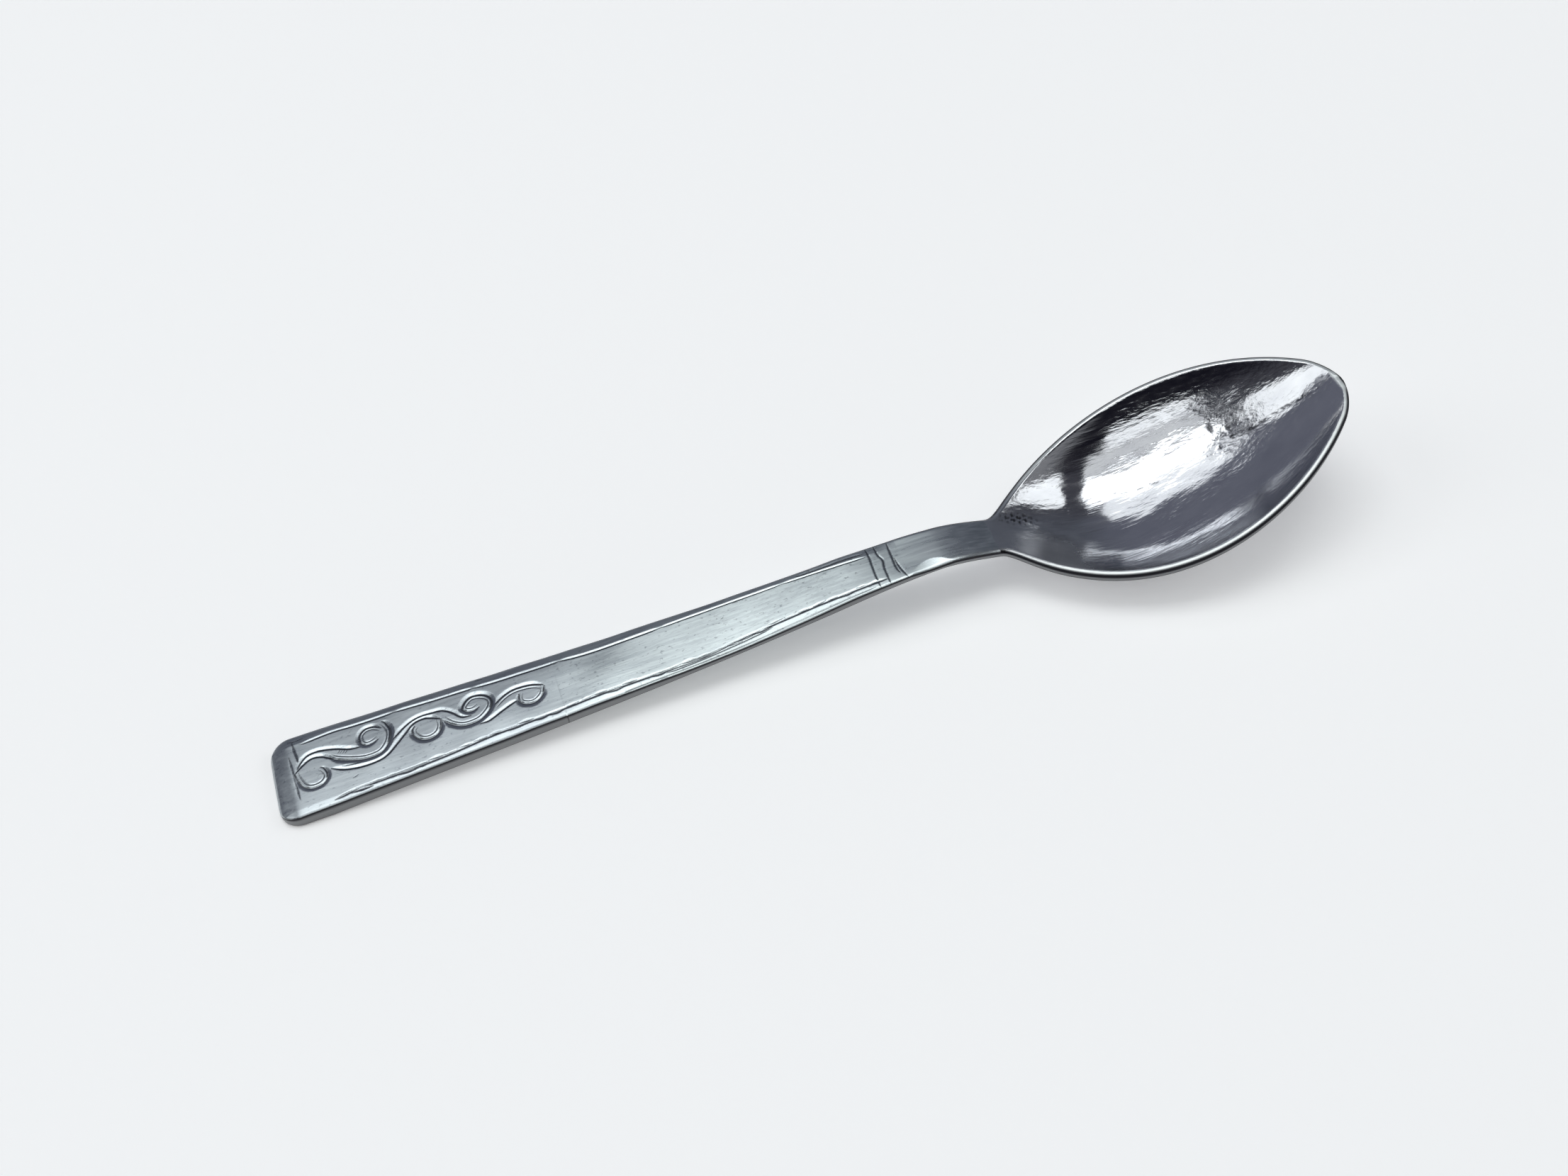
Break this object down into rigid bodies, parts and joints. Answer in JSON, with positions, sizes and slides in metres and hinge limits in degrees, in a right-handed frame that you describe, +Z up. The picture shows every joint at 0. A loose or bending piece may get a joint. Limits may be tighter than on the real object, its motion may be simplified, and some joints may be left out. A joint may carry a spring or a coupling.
{
  "type": "teaspoon",
  "caption": "Metal teaspoon with a flat tapering engraved handle, a slim arched neck and an egg-shaped dished bowl, for stirring and serving.",
  "frame": {"origin": "middle of the spoon's bounding box, on the table that it lies on", "axes": "+X along the spoon from the end of the handle towards the tip of the bowl, +Z up out of the hollow of the bowl"},
  "size_m": [0.14, 0.0292, 0.0159],
  "materials": {
    "handle_metal": "satin",
    "neck_metal": "satin",
    "bowl_metal": "polished"
  },
  "bodies": {
    "root": {"handle": "handle_metal", "neck": "neck_metal", "bowl": "bowl_metal"}
  },
  "joints": []
}
